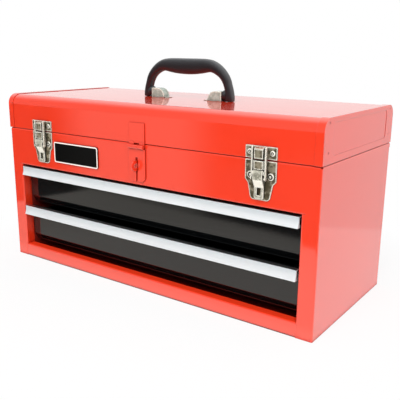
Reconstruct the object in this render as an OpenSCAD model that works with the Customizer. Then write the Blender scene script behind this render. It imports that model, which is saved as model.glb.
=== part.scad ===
// Portable tool box: folded sheet-steel cabinet with a lidded top well, two drawers on
// ball-bearing slides, two draw latches, a padlock hasp and a fold-down carrying handle.
// X runs to the right, Y to the back, Z up. The origin is the middle of the cabinet's underside.

/* [Cabinet] */
// Overall width of the cabinet
box_w = 511; // [460:1:640]
// Depth of the cabinet from its front face to its back
box_d = 216; // [200:1:300]
// Height of the open well, from its floor to the cabinet's top edge
well_h = 52.2; // [48:0.1:90]
// Thickness of the cabinet, lid and drawer sheet
sheet = 0.8; // [0.7:0.05:1.1]
// Outside radius of the sheet's bends
bend_r = 2; // [1.4:0.1:3]
// Width of the front posts beside the drawers
post_w = 21.5; // [18:0.5:30]
// Depth of the folds that line the drawer opening
jamb_d = 14.5; // [10:0.5:16]
// Top of the rail under the lower drawer
rail_top = 19; // [14:0.5:26]
// Gap between that rail and whatever the box stands on
toe_gap = 1.5; // [0.5:0.1:4]
// Width of the inward folds along the edges of the well and the lid
edge_fold = 8; // [5:0.5:10]
// Rise from the top of the drawer opening to the well's floor
well_rise = 2.5; // [1.5:0.1:5]
// Height of the well floor's upturned edges
well_lip = 10; // [6:0.5:16]

/* [Lid] */
// Height of the lid from its lower edge to its top
lid_h = 49.2; // [42:0.1:70]
// Gap between the cabinet's top edge and the lid
seam_gap = 0.6; // [0.4:0.1:1]
// Radius of the lid's front and rear top bends
lid_r = 14; // [8:0.5:20]
// Width of the end caps' flanges over the lid sheet
cap_flange = 9.5; // [6:0.5:14]
// Distance of the pressed end panel from the cap's front and rear edges
panel_inset = 24; // [16:0.5:32]
// Depth of that pressed panel
panel_depth = 0.4; // [0.3:0.1:2]

/* [Drawers] */
// Height of one drawer front with its pull
front_h = 58.2; // [54:0.1:70]
// Gap between the two drawers
drawer_gap = 3.8; // [3:0.1:6]
// Gap under the lower drawer
under_gap = 4.5; // [3:0.1:8]
// Gap over the upper drawer
over_gap = 2.8; // [2:0.1:5]
// Set-back of the drawer face behind the cabinet's front
face_setback = 14; // [13:0.5:18]
// Gap between a drawer front and each post
side_gap = 2.2; // [1:0.1:3]
// Height of the drawer's folded side walls
wall_h = 48; // [38:0.5:50]
// Height at which the drawer's face starts to slope back towards its foot
band_h = 10.5; // [8:0.5:14]
// Distance that the foot of the face is set back
band_step = 5; // [2:0.5:6]
// Height of the drawer pull
pull_h = 13.2; // [10:0.1:18]
// Depth of the hollow along the pull's face
pull_hollow = 1.2; // [1:0.1:2.4]
// Reach of the pull's lower edge beyond the front
pull_reach = 2.6; // [1.5:0.1:4]
// How far each drawer slides out
drawer_travel = 130; // [80:1:135]

/* [Slides] */
// Diameter of a bearing ball
ball_d = 4.5; // [4:0.1:4.8]
// Length of each slide member
slide_l = 187; // [180:1:190]
// Height of the outer slide member
slide_h = 27; // [25:0.5:32]
// Thickness of the slide steel
slide_t = 1.2; // [1:0.05:1.3]
// Space between the drawer's wall and the runner panel
slide_space = 12.7; // [12.5:0.1:13.5]
// Thickness of the ball cage
cage_t = 0.7; // [0.5:0.05:0.8]
// Distance from ball to ball along the cage
ball_pitch = 9; // [7:0.5:14]
// Clearance between a ball and the two races it runs between
race_clear = 0.3; // [0.3:0.01:0.35]

/* [Hinge] */
// Distance of the piano hinge's ends from the box's ends
hinge_inset = 20.5; // [16:0.5:60]
// Number of knuckles along the hinge
knuckles = 19; // [7:2:31]
// Diameter of the hinge pin
hinge_pin_d = 2.68; // [2:0.02:3]
// Thickness of the hinge leaves
hinge_t = 1; // [0.8:0.1:1.4]
// Height of each hinge leaf beside its knuckles
leaf_rise = 17; // [12:1:22]

/* [Latches] */
// Distance of each latch from the box's end
latch_inset = 73; // [45:0.5:110]
// Width of the latch's plates
plate_w = 40; // [38:0.5:46]
// Thickness of the latch's plates
plate_t = 1.2; // [1:0.1:1.4]
// Distance of the latch's base plate from the drawer opening
base_lift = 8.5; // [4:0.5:12]
// Height of the keeper on the lid
keeper_h = 14; // [11:0.5:18]
// Distance of the latch's plates from the cabinet's top edge
plate_gap = 0.7; // [0.5:0.1:3]
// Reach of the keeper's hook beyond the front
hook_reach = 7.2; // [6.6:0.1:8.4]
// Width of the keeper's hook
hook_w = 11; // [8:0.5:13]
// Height of the lever's pivot below the cabinet's top edge
pivot_drop = 14.2; // [13.5:0.1:16]
// Distance from the lever's pivot down to the link's pivot
throw = 6; // [5.5:0.1:7]
// Width of the lever
lever_w = 12; // [10:0.5:12.5]
// Diameter of the latch rivets' shanks
rivet_d = 3.2; // [2.5:0.1:4]
// Diameter of the heads of the keeper's rivets
rivet_head_d = 6.6; // [5:0.1:7]
// Diameter of the heads of the base plate's rivets
base_head_d = 8.4; // [7:0.1:9]

/* [Hasp] */
// Width of the hasp's strap
strap_w = 28; // [22:0.5:34]
// Distance of the strap's lower end from the drawer opening
strap_lift = 5; // [3:0.1:8]
// Distance of the padlock eye from the strap's lower end
eye_lift = 21.1; // [17:0.1:23]
// Thickness of the hasp's strap and leaf
strap_t = 1.3; // [1:0.1:1.5]
// Height of the hasp's leaf on the lid
leaf_h = 26; // [18:0.5:30]
// Radius of the hasp's hinge barrel
barrel_r = 2.6; // [2.3:0.1:3.2]
// Thickness of the padlock staple
staple_t = 2.2; // [1.6:0.1:3]
// Height of the staple
staple_h = 13.6; // [12:0.1:15]
// Diameter of the staple's padlock eye
eye_d = 7; // [5:0.1:7.4]

/* [Handle] */
// Distance between the outer sides of the handle's feet
handle_w = 149; // [130:1:190]
// Height of the handle's top above the lid
handle_h = 55.5; // [50:0.5:70]
// Thickness of the handle's legs
leg_t = 12; // [10:0.5:15]
// Depth of the handle's legs from front to back
leg_d = 13; // [11:0.5:14]
// Depth of the grip from front to back
grip_d = 17; // [14:0.5:17]
// Thickness of the grip at its ends
grip_t = 18; // [15:0.5:20]
// Extra thickness of the palm swell in the middle of the grip
palm_swell = 3.5; // [1:0.5:5]
// Radius of the handle's outer corners
corner_r = 50; // [42:1:52]
// Radius of the round feet
foot_r = 7.5; // [6.5:0.1:7.8]
// Diameter of the handle's pivot pins
handle_pin_d = 4.4; // [3:0.1:5]
// Length of each handle bracket
bracket_l = 22.5; // [21:0.5:28]
// Width of each handle bracket
bracket_w = 12.5; // [8:0.5:14]
// Height of each handle bracket
bracket_h = 13.2; // [12.4:0.1:14]

/* [Badge] */
// Distance of the badge's middle from the box's left end
badge_inset = 141.5; // [130:0.5:180]
// Width of the badge
badge_w = 86.5; // [60:0.5:90]
// Height of the badge
badge_h = 29.5; // [20:0.5:34]
// Thickness of the badge
badge_t = 2.2; // [1.8:0.1:2.6]

/* [Hidden] */
$fn = 48;
RED = [0.90, 0.17, 0.12];
BLACK = [0.10, 0.10, 0.10];
ALUMINIUM = [0.82, 0.84, 0.85];
NICKEL = [0.74, 0.72, 0.67];
STEEL = [0.62, 0.63, 0.65];

// Radial clearance of a pin that turns in its hole
running_fit = 0.06;
// Clearance of a fixed shank or tab in its hole
hole_fit = 0.1;
// Least clearance between neighbours that move past each other
clear = 0.3;
// Gap beside a panel that is fitted between others
slip = 0.2;
// Length by which two folds of one sheet run into each other
join = 6;
// Length of a cut that goes right through
through = 10;

// Cabinet
half_w = box_w / 2;
front = -box_d / 2;
back = box_d / 2;
jamb = half_w - post_w;
inner_w = half_w - sheet;
inner_front = front + sheet;
inner_back = back - 2 * sheet;
pitch = front_h + drawer_gap;
lower_z = rail_top + under_gap;
upper_z = lower_z + pitch;
opening_top = upper_z + front_h + over_gap;
well_z = opening_top + well_rise;
cabinet_h = well_z + well_h;
rear_fold = 14;
rail_lip = 7;
floor_lip = 12;
jamb_gap = 0.5;

// Drawers
drawer_w = jamb - slide_space;
face = front + face_setback;
box_front = face + band_step + sheet;
box_back = inner_back - 9;
wall_z = 2;
top_fold = 7;
front_w = jamb - side_gap;
pull_back = front + 1.8;
pull_edge = 0.8;
pull_t = 1.2;
pull_hook = 5;
pull_catch = 3;
foot_fold = 7;
hem_h = 1.8;
crease_r = sheet + 0.3;

// Slides, drawn in a section whose x is the distance from the drawer's wall
ball_r = ball_d / 2;
race_r = ball_r + race_clear;
race_out = race_r + slide_t;
ball_x = slide_space / 2;
ball_z = slide_h / 2 - race_out;
race_end = 15;
cage_edge = 0.8;
slide_front = box_front + 2;
slide_z = wall_z + wall_h / 2 + 1;
cage_clear = (slide_space / 2 - race_out - slide_t - cage_t) / 2;
cage_l = slide_l - drawer_travel - 4;
cage_front = slide_front + drawer_travel / 2 + 2;
balls = floor((cage_l - ball_d - 2) / ball_pitch) + 1;

// Lid
lid_z = cabinet_h + seam_gap;
lid_top = lid_z + lid_h;

// Piano hinge
hinge_pin_r = hinge_pin_d / 2;
knuckle_r = hinge_pin_r + running_fit + hinge_t;
hinge_y = back + knuckle_r;
hinge_z = cabinet_h + seam_gap / 2;
hinge_l = box_w - 2 * hinge_inset;
knuckle_l = hinge_l / knuckles;
leaf_clear = 0.4;

// Latches
latch_x = half_w - latch_inset;
plate_top = cabinet_h - plate_gap;
plate_foot = opening_top + base_lift;
keeper_z = lid_z + plate_gap;
ear_x = lever_w / 2 + clear;
arm_x = ear_x + plate_t + 0.4;
arm_t = 1.6;
pivot_z = cabinet_h - pivot_drop;
pivot_y = front - plate_t - 4;
hub_r = 3.4;
pivot_pin_r = 1.1;
link_y = pivot_y - 0.8;
link_z = pivot_z - throw;
link_pin_r = 1;
link_front = front - plate_t - 5.7;
rivet_r = rivet_d / 2;
head_t = 1.2;
head_rim = 0.3;
rivet_x = plate_w / 2 - 7;
rivet_z = cabinet_h - 18;
keeper_rivet_x = plate_w / 2 - 5.5;
tail_t = 0.9;
base_shoulder = 23;
base_waist = 18.5;
waist_in = 4;
foot_in = 6.8;
base_r = 5;
ear_r = 2.8;
lever_face = 8;
lever_web = 11;
lever_bend = 16.5;
lever_l = 30;
lever_tab_y = front - plate_t - 3;
window_half = 2.8;
window_l = 9;
link_eye_r = 2.2;
link_arm_d = 3;
link_head = 0.2;
keeper_lip = 2.5;
keeper_lip_d = 4;

// Hasp
leaf_w = strap_w - 2;
strap_gap = 0.4;
barrel_y = front - strap_gap - barrel_r;
barrel_z = cabinet_h - 4;
hasp_pin_r = 1.2;
strap_back = front - strap_gap;
strap_end = opening_top + strap_lift;
staple_z = strap_end + eye_lift;
staple_r = staple_h / 2;
eye_y = strap_back - strap_t - clear - eye_d / 2;
slot_top = staple_z + staple_h / 2 + 4;
slot_end = staple_z - staple_h / 2 - 1.2;
slit_w = staple_t + 2 * 0.2;
chamfer = 4.5;
slot_gap = 0.8;
root_t = 1.2;
root_half = 10;
root_over = 4;

// Badge
badge_x = badge_inset - half_w;
badge_rise = 12.4;
badge_r = 3;
rim_w = 1.6;
field_h = 1.7;

// Handle
foot_gap = 0.5;
handle_half = handle_w / 2;
handle_top = lid_top + handle_h;
handle_pivot_z = lid_top + foot_gap + foot_r;
handle_pin_r = handle_pin_d / 2;
leg_x = handle_half - leg_t / 2;
grip_z = handle_top - grip_t / 2;
sweep_r = corner_r - leg_t / 2;
sweep_z = handle_top - corner_r;
bar_half = leg_x - sweep_r;
bar_end = bar_half + sqrt(pow(corner_r - leg_t, 2) - pow(corner_r - grip_t, 2)) + 1;
swell_half = bar_end - 3;
foot_w = leg_t + 2;
foot_x = handle_half - foot_w;
bracket_x = foot_x - clear;
bracket_t = 1;
tab_l = 8;
backing_t = 1.2;
backing_over = 6;
backing_half = 18;
ledge_l = 6;
ledge_t = 0.8;
clinch = 0.8;
hood_drop = 1;
pin_reach = 4;
pin_cover = 5;
grip_edge = 1.5;

// ---- Folded sheet ----

function unit(v) = v / norm(v);
function turned(v, a) = [v.x * cos(a) - v.y * sin(a), v.x * sin(a) + v.y * cos(a)];
function turn(a, b) = atan2(a.x * b.y - a.y * b.x, a.x * b.x + a.y * b.y);

// The arc that replaces corner q of a path p, q, s
function bend(p, q, s, r) =
    let (a = unit(q - p), b = unit(s - q), angle = turn(a, b), steps = r > 5 ? 10 : 4)
    let (start = q - a * r * abs(tan(angle / 2)), centre = start + sign(angle) * r * [-a.y, a.x])
    [for (i = [0:steps]) centre + turned(start - centre, angle * i / steps)];

// A path with each inner corner rounded to radius r
function bent(path, r) = concat(
    [path[0]],
    [for (i = [1:len(path) - 2]) each bend(path[i - 1], path[i], path[i + 1], r)],
    [path[len(path) - 1]]
);

// One point of a path moved sideways by t, to the left of the way it runs
function beside(path, i, t) =
    let (a = unit(path[max(i, 1)] - path[max(i, 1) - 1]))
    let (b = unit(path[min(i + 1, len(path) - 1)] - path[min(i + 1, len(path) - 1) - 1]))
    let (m = [-a.y - b.y, a.x + b.x])
    path[i] + m * t / (1 + a.x * b.x + a.y * b.y);

// Section of sheet t thick, folded along a path of its outer face; the metal lies to the right
module fold(path, t = sheet, r = bend_r) {
    line = bent(path, r);
    far = [for (i = [len(line) - 1:-1:0]) beside(line, i, -t)];
    polygon(concat(line, far));
}

// ---- Placing ----

// Extrudes a section drawn in (Y, Z) from one X to another
module along_x(from, to) translate([from, 0, 0]) rotate([90, 0, 90]) linear_extrude(to - from) children();

// Extrudes a section drawn in (X, Z) from one Y to another
module along_y(from, to) translate([0, to, 0]) rotate([90, 0, 0]) linear_extrude(to - from) children();

// Extrudes a plan drawn in (X, Y) from one Z to another
module along_z(from, to) translate([0, 0, from]) linear_extrude(to - from) children();

// A block between two opposite corners
module block(low, high) translate(low) cube(high - low);

// A round bar along X
module rod_x(from, to, y, z, r) translate([from, y, z]) rotate([0, 90, 0]) cylinder(h = to - from, r = r);

// A round bar along Y
module rod_y(from, to, x, z, r) translate([x, from, z]) rotate([-90, 0, 0]) cylinder(h = to - from, r = r);

// The same shape on the right and, mirrored, on the left
module both_sides() {
    children();
    mirror([1, 0, 0]) children();
}

// Rectangle with round corners, between two opposite corners
module round_rect(low, high, r) {
    translate([low.x + r, low.y]) square([high.x - low.x - 2 * r, high.y - low.y]);
    translate([low.x, low.y + r]) square([high.x - low.x, high.y - low.y - 2 * r]);
    for (x = [low.x + r, high.x - r], y = [low.y + r, high.y - r]) translate([x, y]) circle(r);
}

// ---- Cabinet ----

// Sides, posts and the sheet over the drawers: one wrapped sheet, open at the back
module cabinet_shell() color(RED) difference() {
    union() {
        both_sides() {
            along_z(0, cabinet_h - bend_r) fold([
                [half_w - rear_fold, back - sheet],
                [half_w, back - sheet],
                [half_w, front],
                [jamb + join - 1, front]
            ]);
            along_z(sheet, opening_top + sheet) fold([
                [jamb + join, front], [jamb, front], [jamb, front + jamb_d]
            ]);
            block([jamb, front, 0], [jamb + join, inner_front, 2 * sheet]);
            along_y(front + bend_r, back - sheet) fold([
                [half_w - edge_fold, cabinet_h], [half_w, cabinet_h], [half_w, cabinet_h - join]
            ]);
        }
        along_x(-half_w + bend_r, half_w - bend_r) fold([
            [front, cabinet_h - join], [front, cabinet_h], [front + edge_fold, cabinet_h]
        ]);
        along_x(-jamb - join, jamb + join) fold([
            [front + jamb_d, well_z],
            [front + jamb_d, opening_top],
            [front, opening_top],
            [front, cabinet_h - join + 1]
        ]);
    }
    latch_holes(rivet_x, rivet_z);
    block([-staple_t / 2 - hole_fit, front - 1, staple_z - staple_r - hole_fit],
          [staple_t / 2 + hole_fit, inner_front + 1, staple_z + staple_r + hole_fit]);
}

// Closes the back; its top edge is folded inward between the sides' folds
module back_panel() color(RED) {
    along_x(-half_w + edge_fold + slip, half_w - edge_fold - slip) fold([
        [back - edge_fold, cabinet_h], [back, cabinet_h], [back, 0]
    ]);
    both_sides() block([half_w - edge_fold - 2 * slip, back - sheet, 0], [half_w - bend_r, back, cabinet_h]);
}

// Floor of the cabinet, with upturned front and rear edges
module bottom_panel() color(RED) {
    along_z(0, sheet) round_rect([-inner_w, inner_front], [inner_w, inner_back], bend_r);
    along_x(-jamb + slip, jamb - slip) difference() {
        translate([inner_front, 0]) square([inner_back - inner_front, floor_lip]);
        translate([inner_front + sheet, sheet]) square([inner_back - inner_front - 2 * sheet, floor_lip]);
    }
}

// Folded rail under the lower drawer, fitted between the posts
module bottom_rail() color(RED) along_x(-jamb + slip, jamb - slip) fold([
    [front, toe_gap],
    [front, rail_top],
    [front + jamb_d - jamb_gap, rail_top],
    [front + jamb_d - jamb_gap, rail_top - rail_lip]
]);

// Floor of the top well: a shallow tray spot-welded to the walls
module well_floor() color(RED) difference() {
    low = [-inner_w, inner_front];
    high = [inner_w, inner_back];
    edge = [sheet, sheet];
    along_z(well_z, well_z + well_lip) round_rect(low, high, bend_r);
    along_z(well_z + sheet, well_z + well_lip + 1) round_rect(low + edge, high - edge, bend_r - sheet);
}

// Upright channel beside the drawers that carries the slides
module runner_panel() color(RED) along_z(sheet, well_z) fold([
    [inner_w, front + jamb_d + jamb_gap],
    [jamb, front + jamb_d + jamb_gap],
    [jamb, inner_back],
    [inner_w - bend_r, inner_back]
]);

// ---- Ball-bearing slides ----

// Quarter of a ball race: an arc around the ball's centre between two angles
module race(from, to) translate([ball_x, ball_z]) intersection() {
    difference() {
        circle(race_out);
        circle(race_r);
    }
    reach = 2 * race_out;
    polygon([[0, 0], for (a = [from, (from + to) / 2, to]) reach * [cos(a), sin(a)]]);
}

// The upper half of a section and its mirror image below
module upper_and_lower() {
    children();
    mirror([0, 1]) children();
}

// Outer member: its races hold the balls from above and below
module channel_section() {
    translate([slide_space - slide_t, -slide_h / 2]) square([slide_t, slide_h]);
    upper_and_lower() {
        translate([ball_x, slide_h / 2 - slide_t]) square([slide_space - ball_x, slide_t]);
        race(90, 180 - race_end);
    }
}

// Inner member: lies inside the outer one and runs on the same balls
module rail_section() {
    rail_top_z = ball_z - race_r;
    translate([0, -rail_top_z]) square([slide_t, 2 * rail_top_z]);
    upper_and_lower() {
        translate([0, rail_top_z - slide_t]) square([ball_x, slide_t]);
        race(270, 360 - race_end);
    }
}

module slide_channel(drawer_z) color(STEEL) translate([drawer_w, 0, drawer_z + slide_z])
    along_y(slide_front, slide_front + slide_l) channel_section();

module slide_rail(drawer_z) color(STEEL) translate([drawer_w, 0, drawer_z + slide_z])
    along_y(slide_front, slide_front + slide_l) rail_section();

// Where the balls lie along the slide, as distances behind the cage's front end
function ball_places() = let (row = (balls - 1) * ball_pitch)
    [for (i = [0:balls - 1]) cage_front + (cage_l - row) / 2 + i * ball_pitch];

// Ball cage: a thin channel between the two members, with a pocket for each ball
module ball_cage(drawer_z) color(STEEL) translate([drawer_w, 0, drawer_z + slide_z]) difference() {
    web_x = ball_x + race_out + cage_clear;
    half = cage_t / 2;
    cage_back = cage_front + cage_l;
    union() {
        block([web_x, cage_front, -ball_z - half], [web_x + cage_t, cage_back, ball_z + half]);
        for (z = [-ball_z, ball_z])
            block([ball_x - ball_r - cage_edge, cage_front, z - half], [web_x + half, cage_back, z + half]);
    }
    for (y = ball_places()) translate([ball_x, y, -slide_h / 2]) cylinder(h = slide_h, r = ball_r + hole_fit);
}

module slide_balls(drawer_z) color(STEEL) both_sides() translate([drawer_w, 0, drawer_z + slide_z])
    for (y = ball_places(), z = [-ball_z, ball_z]) translate([ball_x, y, z]) sphere(ball_r);

// ---- Drawers ----

// Drawer body: floor and side walls folded from one sheet, with front and rear walls
module drawer_box(drawer_z) color(BLACK) translate([0, 0, drawer_z + wall_z]) {
    along_y(box_front, box_back) fold([
        [drawer_w - top_fold, wall_h],
        [drawer_w, wall_h],
        [drawer_w, 0],
        [-drawer_w, 0],
        [-drawer_w, wall_h],
        [-drawer_w + top_fold, wall_h]
    ]);
    along_x(-drawer_w + sheet, drawer_w - sheet) {
        translate([box_front, 0]) square([sheet, wall_h - sheet]);
        fold([[box_back - top_fold, wall_h], [box_back, wall_h], [box_back, bend_r]]);
    }
}

// Drawer front: a foot that slopes back to a hem, a flat face, and a top folded forward for the pull
module drawer_front(drawer_z) color(BLACK) translate([0, 0, drawer_z]) {
    fold_z = front_h - pull_t;
    lip_y = pull_back + sheet;
    along_x(-front_w, front_w) fold([
        [face + band_step + foot_fold, 0],
        [face + band_step, 0],
        [face + band_step, hem_h],
        [face, band_h],
        [face, fold_z - sheet],
        [lip_y, fold_z - sheet],
        [lip_y, front_h - pull_h + pull_t]
    ], r = crease_r);
}

// Extruded drawer pull: a hollow-ground face with hooks over the front's folded lip
module drawer_pull(drawer_z) color(ALUMINIUM) translate([0, 0, drawer_z]) {
    low = [front - pull_reach, front_h - pull_h];
    high = [front - pull_edge, front_h];
    chord = norm(high - low);
    hollow_r = (chord * chord / 4 + pull_hollow * pull_hollow) / (2 * pull_hollow);
    along = unit(high - low);
    centre = (low + high) / 2 + [-along.y, along.x] * (hollow_r - pull_hollow);
    hook_y = pull_back - pull_t / 2;
    lip_back = pull_back + sheet;
    along_x(-front_w, front_w) difference() {
        polygon([low, high, [pull_back, front_h], [pull_back, low.y]]);
        translate(centre) circle(hollow_r, $fn = 96);
    }
    block([-front_w, hook_y, front_h - pull_t], [front_w, pull_back + pull_hook, front_h]);
    block([-front_w, hook_y, low.y], [front_w, lip_back + pull_t, low.y + pull_t]);
    block([-front_w, lip_back, low.y], [front_w, lip_back + pull_t, low.y + pull_catch]);
}

// ---- Lid ----

// End view of the lid, grown outward by a distance
module lid_outline(grow) {
    r = lid_r + grow;
    translate([front - grow, lid_z]) square([box_d + 2 * grow, lid_h - lid_r]);
    translate([front + lid_r, lid_z]) square([box_d - 2 * lid_r, lid_h + grow]);
    for (y = [front + lid_r, back - lid_r]) translate([y, lid_top - lid_r]) circle(r);
}

// Front, top and back of the lid: one wrapped sheet with folded lower edges
module lid_shell() color(RED) difference() {
    union() {
        along_x(-inner_w, inner_w) difference() {
            lid_outline(0);
            lid_outline(-sheet);
            translate([inner_front, lid_z - 1]) square([box_d - 2 * sheet, 2]);
        }
        for (y = [front, back - edge_fold])
            block([-inner_w, y, lid_z], [inner_w, y + edge_fold, lid_z + sheet]);
    }
    latch_holes(keeper_rivet_x, keeper_z + keeper_h / 2);
    bracket_slots();
}

// End cap: a pressed panel in a flange that laps over the lid sheet
module lid_end() color(RED) {
    along_x(half_w - cap_flange, half_w) difference() {
        lid_outline(sheet);
        lid_outline(0);
        translate([front, lid_z - 1]) square([box_d, 2]);
    }
    low = [front + panel_inset, lid_z + panel_inset / 3];
    high = [back - panel_inset, lid_top - panel_inset / 5];
    edge = [sheet, sheet];
    r = panel_inset / 4;
    along_x(inner_w, half_w) difference() {
        lid_outline(sheet);
        round_rect(low, high, r);
    }
    along_x(inner_w - panel_depth, half_w) difference() {
        round_rect(low - edge, high + edge, r + sheet);
        round_rect(low, high, r);
    }
    along_x(inner_w - panel_depth, half_w - panel_depth)
        round_rect(low - edge / 2, high + edge / 2, r + sheet / 2);
}

// ---- Piano hinge ----

// One leaf with every second knuckle; dir is 1 for the lid's leaf and -1 for the cabinet's
module hinge_leaf(dir, first) color(RED) {
    reach = knuckle_r + leaf_clear;
    low = dir > 0 ? hinge_z + reach : hinge_z - reach - leaf_rise;
    difference() {
        union() {
            block([-hinge_l / 2, back, low], [hinge_l / 2, back + hinge_t, low + leaf_rise]);
            for (i = [first:2:knuckles - 1]) {
                x = -hinge_l / 2 + i * knuckle_l;
                from = x + clear / 2;
                to = x + knuckle_l - clear / 2;
                rod_x(from, to, hinge_y, hinge_z, knuckle_r);
                neck = [hinge_z, hinge_z + dir * (reach + 1)];
                block([from, back, min(neck)], [to, back + hinge_t, max(neck)]);
            }
        }
        rod_x(-hinge_l / 2 - 1, hinge_l / 2 + 1, hinge_y, hinge_z, hinge_pin_r + running_fit);
    }
}

module hinge_pin() color(STEEL) rod_x(-hinge_l / 2, hinge_l / 2, hinge_y, hinge_z, hinge_pin_r);

// ---- Draw latches ----

// The shapes of one latch at both latches' places
module at_latches() for (x = [-latch_x, latch_x]) translate([x, 0, 0]) children();

// Rivet holes through the sheet behind the latch plates
module latch_holes(x, z) at_latches() for (side = [-x, x])
    rod_y(front - through, front + through, side, z, rivet_r + hole_fit);

// Rivets with a domed head outside and an upset tail inside
module latch_rivets(x, z, grip, head_d) color(NICKEL) at_latches() for (side = [-x, x]) {
    head_r = head_d / 2;
    dome_r = (head_r * head_r + (head_t - head_rim) * (head_t - head_rim)) / (2 * (head_t - head_rim));
    rod_y(front - plate_t, front + grip, side, z, rivet_r);
    translate([side, front - plate_t, z]) rotate([90, 0, 0]) rotate_extrude() intersection() {
        translate([0, head_t - dome_r]) circle(dome_r);
        square([head_r, head_t]);
    }
    rod_y(front + grip, front + grip + tail_t, side, z, rivet_r + 1);
}

// Base plate with the two ears that carry the lever's pivot
module latch_base() color(NICKEL) difference() {
    half = plate_w / 2;
    union() {
        along_y(front - plate_t, front) {
            polygon([
                [-half, plate_top], [half, plate_top],
                [half, plate_foot + base_shoulder], [half - waist_in, plate_foot + base_waist],
                [half - foot_in, plate_foot + base_r], [-half + foot_in, plate_foot + base_r],
                [-half + waist_in, plate_foot + base_waist], [-half, plate_foot + base_shoulder]
            ]);
            round_rect([-half + foot_in, plate_foot], [half - foot_in, plate_foot + 3 * base_r], base_r);
        }
        both_sides() along_x(ear_x, ear_x + plate_t) {
            translate([pivot_y, pivot_z]) circle(ear_r);
            translate([pivot_y, pivot_z - ear_r]) square([front - pivot_y, 2 * ear_r]);
        }
    }
    rod_x(-half, half, pivot_y, pivot_z, pivot_pin_r);
    for (side = [-rivet_x, rivet_x])
        rod_y(front - through, front + through, side, rivet_z, rivet_r + hole_fit);
}

module latch_pivot_pins() color(NICKEL) at_latches()
    rod_x(-ear_x - plate_t, ear_x + plate_t, pivot_y, pivot_z, pivot_pin_r);

// Side view of the lever, with its front face set back by a distance
module lever_side(inset) {
    y = pivot_y - hub_r + inset;
    heel_y = pivot_y + 2.6;
    translate([pivot_y, pivot_z]) circle(hub_r - inset);
    polygon([
        [y, pivot_z], [y, pivot_z - lever_face], [lever_tab_y + inset, pivot_z - lever_bend],
        [lever_tab_y + plate_t, pivot_z - lever_bend], [heel_y, pivot_z - lever_web], [heel_y, pivot_z]
    ]);
}

// Lever: a channel around its pivot that ends in a flat finger tab with a window
module latch_lever() color(NICKEL) difference() {
    half = lever_w / 2;
    window_z = pivot_z - lever_l + 4;
    union() {
        along_x(-half, half) lever_side(0);
        along_y(lever_tab_y, lever_tab_y + plate_t)
            round_rect([-half, pivot_z - lever_l], [half, pivot_z - lever_bend + 1], 2);
    }
    along_x(-half + plate_t, half - plate_t) {
        lever_side(plate_t);
        translate([pivot_y, pivot_z - lever_web]) square([through, lever_web]);
    }
    block([-window_half, lever_tab_y - 1, window_z],
          [window_half, lever_tab_y + plate_t + 1, window_z + window_l]);
    rod_x(-half - 1, half + 1, pivot_y, pivot_z, pivot_pin_r + running_fit);
    rod_x(-half - 1, half + 1, link_y, link_z, link_pin_r);
}

module link_pin() color(NICKEL) {
    reach = arm_x + arm_t + link_head;
    rod_x(-reach, reach, link_y, link_z, link_pin_r);
}

// Link: two arms that reach past the keeper's hook, joined by a plate below the seam
module latch_link() color(NICKEL) difference() {
    bridge_z = pivot_z + hub_r + 2 * clear;
    union() {
        both_sides() along_x(arm_x, arm_x + arm_t) {
            translate([link_y, link_z]) circle(link_eye_r);
            round_rect([link_front, link_z], [link_front + link_arm_d, keeper_z + keeper_h], 1);
        }
        along_z(bridge_z, cabinet_h - 2 * clear) {
            translate([-arm_x - 0.5, link_front + plate_t]) square([2 * arm_x + 1, plate_t]);
            translate([-hook_w / 2, link_front]) square([hook_w, plate_t + 1]);
        }
    }
    rod_x(-arm_x - arm_t - 1, arm_x + arm_t + 1, link_y, link_z, link_pin_r + running_fit);
}

// Keeper on the lid: a plate with a raised hook in the middle
module latch_keeper() color(NICKEL) difference() {
    half = plate_w / 2;
    hook_y = front - hook_reach;
    union() {
        block([-half, front - plate_t, keeper_z], [half, front, keeper_z + keeper_h]);
        along_x(-hook_w / 2, hook_w / 2) fold([
            [front - plate_t / 2, keeper_z],
            [hook_y, keeper_z],
            [hook_y, keeper_z + keeper_h - keeper_lip],
            [hook_y + keeper_lip_d, keeper_z + keeper_h - keeper_lip / 4]
        ], t = plate_t, r = plate_t + clear);
    }
    for (side = [-keeper_rivet_x, keeper_rivet_x])
        rod_y(front - through, front + through, side, keeper_z + keeper_h / 2, rivet_r + hole_fit);
}

// ---- Hasp ----

// The two ends of one third of the hinge barrel
function barrel_part(i) = [for (end = [i, i + 1])
    (end - 1.5) * leaf_w / 3 + (end == i ? clear / 2 : -clear / 2)];

// Hinge barrel pieces, given by number, with the neck that joins them to their plate
module barrel(parts, neck) difference() {
    union() for (i = parts) along_x(barrel_part(i)[0], barrel_part(i)[1]) {
        translate([barrel_y, barrel_z]) circle(barrel_r);
        translate([strap_back - strap_t, min(barrel_z, neck)]) square([strap_t, abs(neck - barrel_z)]);
    }
    rod_x(-leaf_w, leaf_w, barrel_y, barrel_z, hasp_pin_r + running_fit);
}

// Fixed leaf, spot-welded to the lid, with the barrel's two outer parts
module hasp_leaf() color(RED) {
    block([-leaf_w / 2, front - strap_t, lid_z], [leaf_w / 2, front, lid_z + leaf_h]);
    barrel([0, 2], lid_z + 2);
}

module hasp_pin() color(RED) rod_x(-leaf_w / 2, leaf_w / 2, barrel_y, barrel_z, hasp_pin_r);

// Swinging strap: its slot passes over the staple, with a narrow way out at the lower edge
module hasp_strap() color(RED) {
    half = strap_w / 2;
    top = barrel_z - barrel_r - strap_gap;
    barrel([1], top - 0.5);
    along_y(strap_back - strap_t, strap_back) difference() {
        polygon([
            [-half, top], [half, top], [half, strap_end + chamfer], [half - chamfer, strap_end],
            [-half + chamfer, strap_end], [-half, strap_end + chamfer]
        ]);
        slot_half = staple_t / 2 + slot_gap;
        translate([-slot_half, slot_end]) square([2 * slot_half, slot_top - slot_end]);
        translate([-slit_w / 2, strap_end - 1]) square([slit_w, slot_end - strap_end + 2]);
    }
}

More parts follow.
